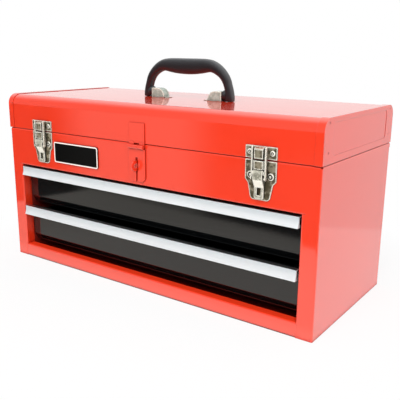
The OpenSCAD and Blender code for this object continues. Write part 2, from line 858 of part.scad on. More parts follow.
// Staple with its padlock eye, welded to a plate behind the cabinet's front
module hasp_staple() color(RED) {
    root = inner_front + root_t;
    over = staple_r + root_over;
    block([-root_half, inner_front, staple_z - over], [root_half, root, staple_z + over]);
    along_x(-staple_t / 2, staple_t / 2) difference() {
        union() {
            translate([eye_y, staple_z]) circle(staple_r);
            translate([eye_y, staple_z - staple_r]) square([root - eye_y - 0.1, staple_h]);
        }
        translate([eye_y, staple_z]) circle(eye_d / 2);
    }
}

// Bare badge plate with a raised rim
module badge_plate() color(BLACK) {
    low = [badge_x - badge_w / 2, opening_top + badge_rise];
    high = [badge_x + badge_w / 2, low.y + badge_h];
    rim = [rim_w, rim_w];
    along_y(front - badge_t, front) difference() {
        round_rect(low, high, badge_r);
        round_rect(low + rim, high - rim, badge_r - rim_w);
    }
    along_y(front - field_h, front) round_rect(low + rim / 2, high - rim / 2, badge_r - rim_w / 2);
}

// ---- Handle ----

// Slots in the lid and the backing plate for the brackets' clinched tabs
module bracket_slots() both_sides() for (side = [-1, 1]) {
    y = side * (bracket_w - bracket_t) / 2;
    x = bracket_x - bracket_l / 2;
    block([x - tab_l / 2 - hole_fit, y - bracket_t / 2 - hole_fit, lid_top - through],
          [x + tab_l / 2 + hole_fit, y + bracket_t / 2 + hole_fit, lid_top + 1]);
}

// Stamped hood beside each foot: flat sides, a top that curves down, and the pivot's wall
module handle_bracket() color(NICKEL) difference() {
    inner_end = bracket_x - bracket_l;
    round_r = bracket_h - hood_drop;
    union() {
        along_y(-bracket_w / 2, bracket_w / 2) intersection() {
            translate([inner_end, lid_top]) square([bracket_l, bracket_h]);
            union() {
                translate([inner_end + round_r, lid_top]) square([bracket_l - round_r, bracket_h]);
                translate([inner_end + round_r, lid_top + hood_drop]) circle(round_r);
            }
        }
        block([inner_end - ledge_l, -bracket_w / 2 + bracket_t, lid_top],
              [inner_end + round_r, bracket_w / 2 - bracket_t, lid_top + ledge_t]);
        both_tabs();
    }
    along_y(-bracket_w / 2 + bracket_t, bracket_w / 2 - bracket_t) {
        translate([inner_end + round_r, lid_top + ledge_t])
            square([bracket_l - round_r - bracket_t, bracket_h - bracket_t - ledge_t]);
        intersection() {
            translate([inner_end + round_r, lid_top + hood_drop]) circle(round_r - bracket_t);
            translate([inner_end, lid_top + ledge_t]) square([round_r, bracket_h]);
        }
    }
    rod_x(bracket_x - 2, bracket_x + 1, 0, handle_pivot_z, handle_pin_r + running_fit);
}

// The bracket's two tabs, which pass through the lid and the backing plate
module both_tabs() for (side = [-1, 1]) {
    y = side * (bracket_w - bracket_t) / 2;
    x = bracket_x - bracket_l / 2;
    block([x - tab_l / 2, y - bracket_t / 2, lid_top - sheet - backing_t - clinch],
          [x + tab_l / 2, y + bracket_t / 2, lid_top + 1]);
}

// Stiffening strap under the lid's top, behind the two brackets
module handle_backing_plate() color(STEEL) difference() {
    reach = handle_half + backing_over;
    top = lid_top - sheet;
    block([-reach, -backing_half, top - backing_t], [reach, backing_half, top]);
    bracket_slots();
}

// Section of the handle, across its run
module grip_section(thick, depth) {
    round_rect([-thick / 2, -depth / 2], [thick / 2, depth / 2], min(thick, depth) / 2 - grip_edge);
}

// Front view of everything inside the handle's outer curve
module grip_reach() {
    translate([-bar_half, lid_top]) square([2 * bar_half, handle_h + 1]);
    for (x = [-bar_half, bar_half]) translate([x, sweep_z]) circle(corner_r - 0.3);
}

// Moulded handle: round feet, legs that sweep in, and a grip with a palm swell
module handle_grip() color(BLACK) difference() {
    swell_r = (swell_half * swell_half + palm_swell * palm_swell) / (2 * palm_swell);
    swell_a = asin(swell_half / swell_r);
    swell_t = grip_t - palm_swell;
    union() {
        both_sides() {
            rod_x(foot_x, handle_half, 0, handle_pivot_z, foot_r);
            translate([leg_x, 0, handle_pivot_z]) linear_extrude(max(1, sweep_z - handle_pivot_z + 1))
                grip_section(leg_t, leg_d);
            translate([bar_half, 0, sweep_z]) rotate([90, 0, 0]) rotate_extrude(angle = 90)
                translate([sweep_r, 0]) grip_section(leg_t, leg_d);
        }
        intersection() {
            translate([-bar_end, 0, grip_z]) rotate([0, 90, 0]) linear_extrude(2 * bar_end)
                grip_section(grip_t, grip_d);
            along_y(-grip_d, grip_d) grip_reach();
        }
        translate([0, 0, grip_z - grip_t / 2 - palm_swell + swell_r]) rotate([90, 0, 0])
            rotate([0, 0, 270 - swell_a]) rotate_extrude(angle = 2 * swell_a)
                translate([swell_r - swell_t / 2, 0]) grip_section(swell_t, grip_d);
    }
    both_sides() rod_x(foot_x - 1, handle_half - pin_cover, 0, handle_pivot_z, handle_pin_r);
}

// Steel pivot pins, moulded into the feet
module handle_pins() color(STEEL) both_sides()
    rod_x(bracket_x - bracket_t - pin_reach, handle_half - pin_cover, 0, handle_pivot_z, handle_pin_r);

// Places a right-hand part, or its mirror image on the left
module at_side(side) {
    if (side > 0) children();
    else mirror([1, 0, 0]) children();
}

cabinet_shell();
back_panel();
bottom_panel();
bottom_rail();
well_floor();
at_side(-1) runner_panel();  // runner_panel_left
at_side(1) runner_panel();  // runner_panel_right
at_side(-1) slide_channel(lower_z);  // slide_channel_lower_left
at_side(1) slide_channel(lower_z);  // slide_channel_lower_right
at_side(-1) slide_channel(upper_z);  // slide_channel_upper_left
at_side(1) slide_channel(upper_z);  // slide_channel_upper_right
hinge_leaf(-1, 0);  // hinge_leaf_cabinet
hinge_pin();
translate([-latch_x, 0, 0]) latch_base();  // latch_base_left
translate([latch_x, 0, 0]) latch_base();  // latch_base_right
latch_rivets(rivet_x, rivet_z, sheet, base_head_d);  // latch_base_rivets
latch_pivot_pins();
hasp_staple();
badge_plate();
lid_shell();
at_side(-1) lid_end();  // lid_end_left
at_side(1) lid_end();  // lid_end_right
hinge_leaf(1, 1);  // hinge_leaf_lid
translate([-latch_x, 0, 0]) latch_keeper();  // latch_keeper_left
translate([latch_x, 0, 0]) latch_keeper();  // latch_keeper_right
latch_rivets(keeper_rivet_x, keeper_z + keeper_h / 2, sheet, rivet_head_d);  // keeper_rivets
hasp_leaf();
hasp_pin();
at_side(-1) handle_bracket();  // handle_bracket_left
at_side(1) handle_bracket();  // handle_bracket_right
handle_backing_plate();
handle_grip();
handle_pins();
hasp_strap();
translate([-latch_x, 0, 0]) latch_lever();  // latch_lever_left
translate([latch_x, 0, 0]) latch_lever();  // latch_lever_right
translate([-latch_x, 0, 0]) link_pin();  // link_pin_left
translate([latch_x, 0, 0]) link_pin();  // link_pin_right
translate([-latch_x, 0, 0]) latch_link();  // latch_link_left
translate([latch_x, 0, 0]) latch_link();  // latch_link_right
drawer_box(lower_z);  // drawer_box_lower
drawer_front(lower_z);  // drawer_front_lower
drawer_pull(lower_z);  // drawer_pull_lower
at_side(-1) slide_rail(lower_z);  // slide_rail_lower_left
at_side(1) slide_rail(lower_z);  // slide_rail_lower_right
drawer_box(upper_z);  // drawer_box_upper
drawer_front(upper_z);  // drawer_front_upper
drawer_pull(upper_z);  // drawer_pull_upper
at_side(-1) slide_rail(upper_z);  // slide_rail_upper_left
at_side(1) slide_rail(upper_z);  // slide_rail_upper_right
at_side(-1) ball_cage(lower_z);  // ball_cage_lower_left
at_side(1) ball_cage(lower_z);  // ball_cage_lower_right
slide_balls(lower_z);  // slide_balls_lower
at_side(-1) ball_cage(upper_z);  // ball_cage_upper_left
at_side(1) ball_cage(upper_z);  // ball_cage_upper_right
slide_balls(upper_z);  // slide_balls_upper
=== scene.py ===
# Portable tool box with drawers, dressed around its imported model.
# The sections follow the box as it is put together: the studio it stands in, then the cabinet,
# slides, drawers, pulls, latches, hasp, badge, lid, hinge and handle. Lengths are in metres.
import math

import bmesh
import bpy
from mathutils import Matrix, Vector


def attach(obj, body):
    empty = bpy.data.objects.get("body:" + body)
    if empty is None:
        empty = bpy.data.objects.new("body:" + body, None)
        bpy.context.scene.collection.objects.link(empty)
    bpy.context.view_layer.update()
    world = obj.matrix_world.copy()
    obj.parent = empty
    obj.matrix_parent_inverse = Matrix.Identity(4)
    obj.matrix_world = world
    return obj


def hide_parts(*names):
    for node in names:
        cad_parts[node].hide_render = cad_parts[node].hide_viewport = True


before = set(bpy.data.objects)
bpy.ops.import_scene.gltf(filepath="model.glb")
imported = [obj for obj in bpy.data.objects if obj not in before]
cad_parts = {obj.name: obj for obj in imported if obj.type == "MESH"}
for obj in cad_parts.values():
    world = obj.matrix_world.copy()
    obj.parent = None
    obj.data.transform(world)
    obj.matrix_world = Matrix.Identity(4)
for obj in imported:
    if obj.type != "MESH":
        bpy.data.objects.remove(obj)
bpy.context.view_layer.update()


# ---- Camera ----
# A short telephoto lens a little above the lid, to the right of the front, close enough that
# the near corner looks larger than the far one.
LENS_MM, SENSOR_MM = 52.90, 36
NEAREST_SEEN = 0.01
CAMERA_AT = Vector((0.49855, -0.67128, 0.32046))
AZIMUTH, ELEVATION, ROLL = (math.radians(a) for a in (35.3211, 14.5009, 0.5254))


def make_camera():
    back = Vector((math.sin(AZIMUTH) * math.cos(ELEVATION),
                   -math.cos(AZIMUTH) * math.cos(ELEVATION), math.sin(ELEVATION)))
    right = (-back).cross(Vector((0, 0, 1))).normalized()
    up = right.cross(-back)
    rolled_right = right * math.cos(ROLL) + up * math.sin(ROLL)
    rolled_up = up * math.cos(ROLL) - right * math.sin(ROLL)
    camera = bpy.data.objects.new("camera", bpy.data.cameras.new("camera"))
    camera.data.lens = LENS_MM
    camera.data.sensor_width = SENSOR_MM
    camera.data.clip_start = NEAREST_SEEN
    turn = Matrix((rolled_right, rolled_up, back)).transposed()
    camera.matrix_world = Matrix.Translation(CAMERA_AT) @ turn.to_4x4()
    bpy.context.scene.collection.objects.link(camera)
    bpy.context.scene.camera = camera


make_camera()
bpy.context.scene.view_settings.view_transform = "Standard"


# ---- Floor, backdrop and lamps ----
# A white studio sweep lit by large soft lamps. Its white is in its colour, so the lamps stay
# plain. In the box's gloss the sweep ends a short way off, and the dim room shows beyond it.
FLOOR_HALF, FLOOR_LIFT = 5.0, -0.0003
WHITE, MATT_WHITE = (1, 1, 1, 1), (0.93, 0.93, 0.93, 1)
SKY_LEVEL = 0.42
SHADOW_SHARE, SHADOW_REACH = 0.16, (0.26, 0.44)

# The sweep's levels in the gloss. Each step is a direction over the floor, the distances along
# it between which the level changes, and the factor it changes by.
FOOT_LEVEL, FRONT_LEVEL, ROOM_LEVEL, BACK_LEVEL = 0.70, 0.48, 0.03, 0.85
FORWARD = (0, -1, 0)
SWEEP_STEPS = ((FORWARD, 0.100, 0.108, FOOT_LEVEL),
               (FORWARD, 0.115, 0.150, FRONT_LEVEL / FOOT_LEVEL),
               ((0.1, -1, 0), 0.40, 0.44, ROOM_LEVEL / FRONT_LEVEL),
               ((-1, -0.26, 0), 0.59, 0.61, ROOM_LEVEL / FRONT_LEVEL),
               ((0.48, 0.88, 0), 0.47, 0.50, BACK_LEVEL))
GLOW, GLOW_START = (1.0, 0.94, 0.85, 1), (0.05, 0.12)
ROOM_HEIGHT_LEVEL, ROOM_HEIGHT_TURN = 0.20, (-0.30, 0.45)

# A pale card lies on the sweep: its tip, the slopes of its two soft sides, and its near end.
CARD_TIP, CARD_START, CARD_LEVEL = (0.499, 0.455, 0.0), (0.40, 0.44), 0.30
CARD_SIDE_IN, CARD_SIDE_OUT = (0.64, 0.78), (1.02, 1.18)


def add(tree, kind, settings=None, **sockets):
    """Adds one shader node; each named socket gets a value or another node's output."""
    made = tree.nodes.new("ShaderNode" + kind)
    for key, value in (settings or {}).items():
        setattr(made, key, value)
    for key, value in sockets.items():
        name = int(key[1:]) if key[0] == "_" else key.replace("_", " ")
        if isinstance(value, bpy.types.NodeSocket):
            tree.links.new(value, made.inputs[name])
        else:
            made.inputs[name].default_value = value
    return made


def maths(tree, operation, first, second):
    return add(tree, "Math", {"operation": operation}, _0=first, _1=second).outputs[0]


def product(tree, *levels):
    total = levels[0]
    for level in levels[1:]:
        total = maths(tree, "MULTIPLY", total, level)
    return total


def measure(tree, operation, first, second=(0, 0, 0)):
    """A number read off two vectors, such as a distance or a dot product."""
    return add(tree, "VectorMath", {"operation": operation},
               _0=first, _1=second).outputs["Value"]


def axis_part(tree, vector, axis):
    return add(tree, "SeparateXYZ", Vector=vector).outputs[axis]


def ramp(tree, value, begin=0.0, end=1.0, before=0.0, after=1.0, shape="LINEAR"):
    """Goes from one level to another as a value goes from begin to end."""
    return add(tree, "MapRange", {"interpolation_type": shape}, Value=value, From_Min=begin,
               From_Max=end, To_Min=before, To_Max=after).outputs[0]


def fade(tree, place, along, begin, end, before, after):
    """A smooth change of level between two distances along a direction."""
    distance = measure(tree, "DOT_PRODUCT", place, along)
    return ramp(tree, distance, begin, end, before, after, "SMOOTHSTEP")


def blend_colours(tree, share, low, high, how="MIX"):
    return add(tree, "Mix", {"data_type": "RGBA", "blend_type": how},
               _0=share, _6=low, _7=high).outputs[2]


def shows_white(tree):
    """1 for rays that look at the sweep straight, in gloss or through glass, else 0."""
    ray = add(tree, "LightPath")
    seen = maths(tree, "MAXIMUM", ray.outputs["Is Camera Ray"], ray.outputs["Is Glossy Ray"])
    return maths(tree, "MAXIMUM", seen, ray.outputs["Is Transmission Ray"])


def white_to_camera(tree, level):
    return maths(tree, "MAXIMUM", level, add(tree, "LightPath").outputs["Is Camera Ray"])


def pale_card(tree, place):
    """Level of the card: a long wedge with soft sides, in front of the box."""
    off = add(tree, "VectorMath", {"operation": "SUBTRACT"}, _0=place, _1=CARD_TIP).outputs[0]
    slope = maths(tree, "DIVIDE", axis_part(tree, off, "X"), axis_part(tree, off, "Y"))
    return product(tree, ramp(tree, slope, *CARD_SIDE_IN, 0.0, 1.0, "SMOOTHSTEP"),
                   ramp(tree, slope, *CARD_SIDE_OUT, 1.0, 0.0, "SMOOTHSTEP"),
                   fade(tree, place, FORWARD, *CARD_START, 0.0, CARD_LEVEL))


def mesh_object(name, points, faces):
    mesh = bpy.data.meshes.new(name)
    mesh.from_pydata([tuple(p) for p in points], [], faces)
    mesh.update()
    made = bpy.data.objects.new(name, mesh)
    bpy.context.scene.collection.objects.link(made)
    return made


def make_floor():
    s, z = FLOOR_HALF, FLOOR_LIFT
    floor = mesh_object("floor", [(-s, -s, z), (s, -s, z), (s, s, z), (-s, s, z)], [(0, 1, 2, 3)])
    material = bpy.data.materials.new("sweep_white")
    material.use_nodes = True
    tree = material.node_tree
    tree.nodes.clear()
    place = add(tree, "TexCoord").outputs["Object"]
    level = product(tree, *[fade(tree, place, along, begin, end, 1.0, change)
                            for along, begin, end, change in SWEEP_STEPS])
    level = maths(tree, "MAXIMUM", level, pale_card(tree, place))
    mirrored = product(tree, fade(tree, place, FORWARD, *GLOW_START, 0.0, 1.0),
                       add(tree, "LightPath").outputs["Is Glossy Ray"])
    white = add(tree, "Emission", Color=blend_colours(tree, mirrored, WHITE, GLOW),
                Strength=white_to_camera(tree, level))
    matt = add(tree, "BsdfDiffuse", Color=MATT_WHITE)
    keep = ramp(tree, measure(tree, "LENGTH", place), *SHADOW_REACH, 1 - SHADOW_SHARE, 1.0,
                "SMOOTHSTEP")
    share = product(tree, shows_white(tree), keep)
    both = add(tree, "MixShader", _0=share, _1=matt.outputs[0], _2=white.outputs[0])
    add(tree, "OutputMaterial", Surface=both.outputs[0])
    floor.data.materials.append(material)


def make_world():
    world = bpy.data.worlds.new("studio")
    bpy.context.scene.world = world
    world.use_nodes = True
    tree = world.node_tree
    tree.nodes.clear()
    direction = add(tree, "TexCoord").outputs["Generated"]
    level = fade(tree, direction, FORWARD, *ROOM_HEIGHT_TURN, 1.0, ROOM_HEIGHT_LEVEL)
    white = add(tree, "Background", Color=WHITE, Strength=white_to_camera(tree, level))
    light = add(tree, "Background", Color=WHITE, Strength=SKY_LEVEL)
    both = add(tree, "MixShader", _0=shows_white(tree), _1=light.outputs[0], _2=white.outputs[0])
    add(tree, "OutputWorld", Surface=both.outputs[0])


def soft_lamp(name, place, aim, size, watts):
    lamp = bpy.data.objects.new(name, bpy.data.lights.new(name, "AREA"))
    lamp.data.shape = "RECTANGLE"
    lamp.data.size, lamp.data.size_y = size
    lamp.data.energy = watts
    lamp.location = place
    lamp.rotation_euler = (Vector(place) - Vector(aim)).to_track_quat("Z", "Y").to_euler()
    lamp.visible_camera = False
    lamp.visible_glossy = False
    bpy.context.scene.collection.objects.link(lamp)


make_floor()
make_world()
soft_lamp("key_lamp", place=(0.80, -1.85, 1.95), aim=(0, 0, 0.12), size=(2.2, 1.8), watts=72)
soft_lamp("right_lamp", place=(2.5, 0.1, 1.2), aim=(0, 0, 0.12), size=(1.4, 1.4), watts=4)
soft_lamp("back_lamp", place=(-1.30, 1.95, 0.78), aim=(0, 0, 0.22), size=(2.6, 0.9), watts=6)


# ---- Cabinet ----
# The cabinet is folded from steel sheet and spot-welded: sides with posts, back, floor, foot
# rail, the well's floor and the two channels that carry the slides. All of it is coated
# together in a glossy red enamel with a faint orange peel. A painted highlight makes it a little
# lighter along the folds, and painted shade darkens its joints and the ground around fitted parts.
RED_DEEP, RED_FULL = (0.88, 0.039, 0.0085, 1), (0.93, 0.043, 0.0100, 1)
# The edge red is a painted highlight along the folds. The shut red is painted shade in gaps, inner
# corners and around fitted parts, and also the dull red of the weld dimples.
RED_EDGE_HIGHLIGHT, RED_SHADE_AND_DIMPLE = (0.98, 0.085, 0.035, 1), (0.28, 0.004, 0.002, 1)
# The inside reds are painted shade, darker than the outside red.
INSIDE_SHADE_DEEP, INSIDE_SHADE_FULL = (0.11, 0.006, 0.003, 1), (0.22, 0.010, 0.004, 1)
# Painted highlight: the rounding radius of the folds and the share of lighter edge red on them.
FOLD_RADIUS, FOLD_HIGHLIGHT = 0.0008, 0.3
# Painted shade: how far around the enamel looks for nearby surfaces, and the levels of openness
# between full shade and none.
SHADE_REACH, SHADE_SHUT, SHADE_OPEN = 0.008, 0.25, 0.85
DIMPLE_INNER, DIMPLE_OUTER, DIMPLE_GLOSS = 0.0010, 0.0020, 0.25
LEDGE_GLOSS = 0.15
FACING_LIMIT = 0.8
SOFT_SAMPLES = 6
UP = (0, 0, 1)


def new_finish(name, **sockets):
    """A material with its Principled shader's own sockets set, and its object coordinates."""
    material = bpy.data.materials.new(name)
    material.use_nodes = True
    tree = material.node_tree
    bsdf = tree.nodes["Principled BSDF"]
    for key, value in sockets.items():
        bsdf.inputs[key.replace("_", " ")].default_value = value
    return material, tree, bsdf, add(tree, "TexCoord").outputs["Object"]


def feed(tree, bsdf, **looks):
    """Links what varies over the surface to the shader's sockets."""
    for key, output in looks.items():
        tree.links.new(output, bsdf.inputs[key.replace("_", " ")])


def clouds(tree, place, scale, detail):
    return add(tree, "TexNoise", Vector=place, Scale=scale, Detail=detail).outputs[0]


def surface_normal(tree):
    return add(tree, "NewGeometry").outputs["Normal"]


def rounded_edges(tree, radius):
    """The surface's normal with its sharp edges rounded."""
    return add(tree, "Bevel", {"samples": SOFT_SAMPLES}, Radius=radius).outputs["Normal"]


def edge_share(tree, rounded, begin=0.995, full=0.90):
    """1 on the edges that were rounded and 0 on flats."""
    return ramp(tree, measure(tree, "DOT_PRODUCT", rounded, surface_normal(tree)), begin, full)


def ripple(tree, place, scale, strength, depth, normal, detail=2.0):
    """Bumps the surface with noise of one size on top of the given normal."""
    return add(tree, "Bump", Strength=strength, Distance=depth,
               Height=clouds(tree, place, scale, detail), Normal=normal).outputs["Normal"]


def unshaded_share(tree, reach):
    """1 in the open, falling towards 0 in narrow gaps and inner corners; painted shade goes where
    it is low.
    """
    shut = add(tree, "AmbientOcclusion", {"samples": SOFT_SAMPLES}, Distance=reach)
    return ramp(tree, shut.outputs["AO"], SHADE_SHUT, SHADE_OPEN)


def facing(tree, side):
    """1 where the surface faces one side of the box, else 0."""
    along = measure(tree, "DOT_PRODUCT", surface_normal(tree), side)
    return maths(tree, "GREATER_THAN", along, FACING_LIMIT)


def red_enamel(name, marks=(), ledge=False):
    """The red coating, with painted highlights on its folds and painted shade in its joints.
    Marks are places of weld dimples, and a ledge has a thin coat on top.
    """
    material, tree, bsdf, place = new_finish(
        name, Roughness=0.55, Specular_IOR_Level=0.25, Coat_Roughness=0.04, Coat_IOR=2.4)
    colour = blend_colours(tree, clouds(tree, place, scale=7, detail=3), RED_DEEP, RED_FULL)
    rounded = rounded_edges(tree, FOLD_RADIUS)
    # Painted highlight: the rounded folds turn towards the lighter edge red.
    edge_highlight = product(tree, edge_share(tree, rounded), FOLD_HIGHLIGHT)
    # Painted shade: a darker colour and a thinner coat in gaps, inner corners and around fitted
    # parts.
    gloss_and_shade = unshaded_share(tree, SHADE_REACH)
    for mark in marks:
        gloss_and_shade = product(tree, gloss_and_shade, ramp(tree, measure(tree, "DISTANCE", place, mark),
                                          DIMPLE_INNER, DIMPLE_OUTER, DIMPLE_GLOSS, 1.0))
    coated = blend_colours(tree, gloss_and_shade, RED_SHADE_AND_DIMPLE, blend_colours(tree, edge_highlight, colour, RED_EDGE_HIGHLIGHT))
    if ledge:
        gloss_and_shade = ramp(tree, facing(tree, UP), before=1.0, after=LEDGE_GLOSS)
    peel = ripple(tree, place, scale=330, strength=0.06, depth=0.0002, normal=rounded)
    wave = ripple(tree, place, scale=11, strength=0.05, depth=0.002, normal=peel, detail=0)
    feed(tree, bsdf, Base_Color=coated, Coat_Weight=gloss_and_shade, Normal=wave, Coat_Normal=wave)
    return material


def dress(material, *names):
    for name in names:
        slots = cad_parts[name].data.materials
        slots.clear()
        slots.append(material)


def inner_enamel():
    """The inside: a dull red without a coat, made darker as painted shade."""
    material, tree, bsdf, place = new_finish("red_enamel_inside", Roughness=0.70)
    cloud = clouds(tree, place, scale=16, detail=3)
    feed(tree, bsdf, Base_Color=blend_colours(tree, cloud, INSIDE_SHADE_DEEP, INSIDE_SHADE_FULL))
    return material


RED = red_enamel("red_enamel")
dress(RED, "cabinet_shell", "back_panel", "well_floor")
dress(red_enamel("red_enamel_rail", ledge=True), "bottom_rail")
dress(inner_enamel(), "bottom_panel", "runner_panel_left", "runner_panel_right")

# The rail is welded between the posts. At the right the weld is ground flush with both.
RAIL_END, POST_FLAT = 0.2339, 0.2361
RAIL_FRONT, RAIL_FOOT, RAIL_TOP, RAIL_BEND = -0.108, 0.0016, 0.019, 0.002
BEAD_DEPTH, BEND_STEPS = 0.0015, 6


def lofted(name, rings):
    """A closed skin through rings that all have the same number of points."""
    n = len(rings[0])
    points = [p for ring in rings for p in ring]
    faces = [(r * n + i, r * n + (i + 1) % n, (r + 1) * n + (i + 1) % n, (r + 1) * n + i)
             for r in range(len(rings) - 1) for i in range(n)]
    faces += [tuple(range(n))[::-1], tuple(range(len(points) - n, len(points)))]
    return mesh_object(name, points, faces)


def make_bead(name):
    turns = [math.radians(90 * k / BEND_STEPS) for k in range(BEND_STEPS + 1)]
    bend = [(RAIL_FRONT + RAIL_BEND * (1 - math.cos(a)), RAIL_TOP - RAIL_BEND * (1 - math.sin(a)))
            for a in turns]
    rear = RAIL_FRONT + BEAD_DEPTH
    outline = [(rear, RAIL_FOOT), (RAIL_FRONT, RAIL_FOOT)] + [(y, z) for y, z in bend if y <= rear]
    outline.append((rear, outline[-1][1]))
    return lofted(name, [[(x, y, z) for y, z in outline] for x in (RAIL_END, POST_FLAT)])


def finish_mesh(piece, material, smooth=True):
    """Turns all faces outward, sets how they are shaded and gives the piece its finish."""
    mesh = bmesh.new()
    mesh.from_mesh(piece.data)
    bmesh.ops.recalc_face_normals(mesh, faces=mesh.faces)
    mesh.to_mesh(piece.data)
    mesh.free()
    for face in piece.data.polygons:
        face.use_smooth = smooth
    piece.data.materials.append(material)


bead = make_bead("rail_bead")
finish_mesh(bead, RED, smooth=False)
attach(bead, "cabinet")


# ---- Ball-bearing slides ----
# Rolled channels of zinc-plated steel, a thin steel cage between them and polished balls. The
# zinc is a dull blue-grey with a faint drawn grain along the slide.
ZINC_DARK, ZINC_LIGHT = (0.50, 0.52, 0.55, 1), (0.70, 0.71, 0.73, 1)
BALL_DARK, BALL_LIGHT = (0.66, 0.67, 0.70, 1), (0.80, 0.81, 0.83, 1)
DRAWN_GRAIN = (900, 6, 900)
ZINC_EDGE_RADIUS = 0.0003


def zinc_steel():
    material, tree, bsdf, place = new_finish("zinc_steel", Metallic=1.0)
    drawn = add(tree, "Mapping", Vector=place, Scale=DRAWN_GRAIN).outputs[0]
    grain = clouds(tree, drawn, scale=1, detail=2)
    feed(tree, bsdf, Base_Color=blend_colours(tree, grain, ZINC_DARK, ZINC_LIGHT),
         Roughness=ramp(tree, grain, before=0.30, after=0.48),
         Normal=ripple(tree, drawn, scale=1, strength=0.10, depth=0.0001,
                       normal=rounded_edges(tree, ZINC_EDGE_RADIUS)))
    return material


def polished_steel():
    material, tree, bsdf, place = new_finish("polished_steel", Metallic=1.0)
    haze = clouds(tree, place, scale=600, detail=1)
    feed(tree, bsdf, Base_Color=blend_colours(tree, haze, BALL_DARK, BALL_LIGHT),
         Roughness=ramp(tree, haze, before=0.08, after=0.16))
    return material


ZINC = zinc_steel()
for drawer in ("lower", "upper"):
    for side in ("left", "right"):
        dress(ZINC, f"slide_channel_{drawer}_{side}", f"slide_rail_{drawer}_{side}",
              f"ball_cage_{drawer}_{side}")
dress(polished_steel(), "slide_balls_lower", "slide_balls_upper")


# ---- Drawers ----
# Folded sheet-steel drawers in a semi-gloss black enamel. The flat face ends in a set-back band
# along its foot, and its top is folded forward to carry the pull.
BLACK_DEEP, BLACK_FULL = (0.0020, 0.0026, 0.0030, 1), (0.0040, 0.0048, 0.0054, 1)
# The edge black is a painted highlight on the rounded edges.
BLACK_EDGE_HIGHLIGHT = (0.020, 0.020, 0.020, 1)


def black_enamel():
    material, tree, bsdf, place = new_finish(
        "black_enamel", Roughness=0.60, Specular_IOR_Level=0.10, Coat_Weight=1.0,
        Coat_Roughness=0.06, Coat_IOR=1.87)
    colour = blend_colours(tree, clouds(tree, place, scale=9, detail=3), BLACK_DEEP, BLACK_FULL)
    rounded = rounded_edges(tree, FOLD_RADIUS)
    peel = ripple(tree, place, scale=420, strength=0.07, depth=0.0002, normal=rounded)
    wave = ripple(tree, place, scale=12, strength=0.05, depth=0.002, normal=peel, detail=0)
    # Painted highlight: the rounded edges turn towards the lighter edge black.
    feed(tree, bsdf, Normal=peel, Coat_Normal=wave,
         Base_Color=blend_colours(tree, edge_share(tree, rounded), colour, BLACK_EDGE_HIGHLIGHT))
    return material


dress(black_enamel(), "drawer_box_lower", "drawer_box_upper", "drawer_front_lower",
      "drawer_front_upper")


# ---- Drawer pulls ----
# Extruded aluminium strips the full width of each drawer, brushed along their length and clear
# anodised, hooked over the folded top of the drawer front.
BRUSH_DARK, BRUSH_LIGHT = (0.80, 0.83, 0.84, 1), (0.93, 0.95, 0.96, 1)
# The underside tint is painted shade for faces that lean down.
BRUSH_CLOUD, UNDERSIDE_SHADE = (0.88, 0.90, 0.91, 1), (0.72, 0.77, 0.80, 1)
BRUSHED_GRAIN = (9, 2600, 2600)
PULL_EDGE_RADIUS = 0.0004
SHADE_LEAN = (-0.25, 0.30)


def brushed_aluminium():
    """Brushed metal, barer on top, with painted shade making it a little darker where it leans
    down.
    """
    material, tree, bsdf, place = new_finish("brushed_aluminium")
    along = add(tree, "Mapping", Vector=place, Scale=BRUSHED_GRAIN).outputs[0]
    brush = clouds(tree, along, scale=1, detail=3)
    tone = blend_colours(tree, clouds(tree, place, scale=14, detail=2),
                         blend_colours(tree, brush, BRUSH_DARK, BRUSH_LIGHT), BRUSH_CLOUD)
    # Painted shade: faces that lean down are darkened by the underside tint.
    shade_lean = ramp(tree, axis_part(tree, surface_normal(tree), "Z"), *SHADE_LEAN)
    shaded_below = blend_colours(tree, 1.0, tone, UNDERSIDE_SHADE, "MULTIPLY")
    feed(tree, bsdf, Base_Color=blend_colours(tree, shade_lean, shaded_below, tone),
         Metallic=ramp(tree, facing(tree, UP), before=0.30, after=1.0),
         Roughness=ramp(tree, brush, before=0.30, after=0.42),
         Normal=ripple(tree, along, scale=1, strength=0.12, depth=0.00005,
                       normal=rounded_edges(tree, PULL_EDGE_RADIUS)))
    return material


dress(brushed_aluminium(), "drawer_pull_lower", "drawer_pull_upper")


# ---- Draw latches ----
# Stamped steel, barrel-plated in nickel with a warm tone: base with ears, rivets, pivot pins,
# lever, link and hooked keeper. Tumbling leaves them satin. Painted highlights brighten their
# edges, and painted shade darkens their slots and gaps.
# The edge colour is a painted highlight and the shut colour is painted shade.
NICKEL_HIGHLIGHT, NICKEL_SHADE = (0.92, 0.89, 0.77, 1), (0.012, 0.010, 0.006, 1)
WARM_DARK, WARM_LIGHT = (0.15, 0.125, 0.072, 1), (0.50, 0.44, 0.31, 1)
LEVER_DARK, LEVER_LIGHT = (0.34, 0.33, 0.25, 1), (0.60, 0.58, 0.47, 1)
# The lever's slope that gets a painted highlight, and how closely a face must match it.
LEVER_SLOPE, SLOPE_MATCH = (0.0, -0.888, -0.460), (0.93, 0.97)
# Painted highlight: how far the edges are rounded and the slopes over which the highlight comes
# in.
HIGHLIGHT_RADIUS, HIGHLIGHT_BEGIN, HIGHLIGHT_FULL = 0.0020, 0.9995, 0.980
NICKEL_SPREAD = (0.38, 0.62)
# Painted shade reach: how far around the nickel looks for nearby surfaces.
NICKEL_SHADE_REACH = 0.006
# The painted shade ring on a domed head lies between two slopes, given by how far the normal
# faces front; the rim outside it and the middle inside it get a painted highlight.
RING_INNER, RING_OUTER = (-0.994, -0.988), (-0.962, -0.952)


